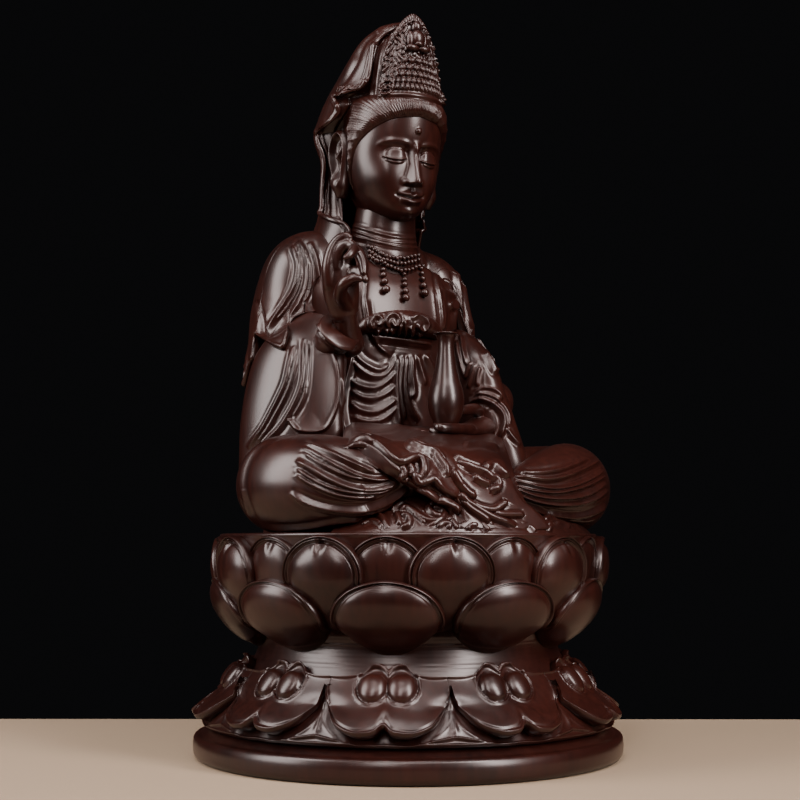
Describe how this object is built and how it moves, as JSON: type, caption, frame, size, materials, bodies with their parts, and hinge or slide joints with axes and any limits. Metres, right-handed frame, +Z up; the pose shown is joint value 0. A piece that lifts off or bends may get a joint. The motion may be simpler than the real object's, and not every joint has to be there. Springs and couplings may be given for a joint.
{
  "type": "carved wooden guanyin statue",
  "caption": "Seated robed Guanyin holding a water vase on a throne of two facing lotus flowers, carved in one block of dark wood; stands on its round foot.",
  "frame": {"origin": "middle of the round underside", "axes": "+Z up; the figure looks along -Y; its left hand, with the vase, is on the +X side"},
  "size_m": [0.229, 0.229, 0.406],
  "materials": {
    "carved_wood": "satin polished and waxed very dark purple-brown hardwood"
  },
  "bodies": {
    "root": {"guanyin_on_lotus_throne": "carved_wood"}
  },
  "joints": []
}
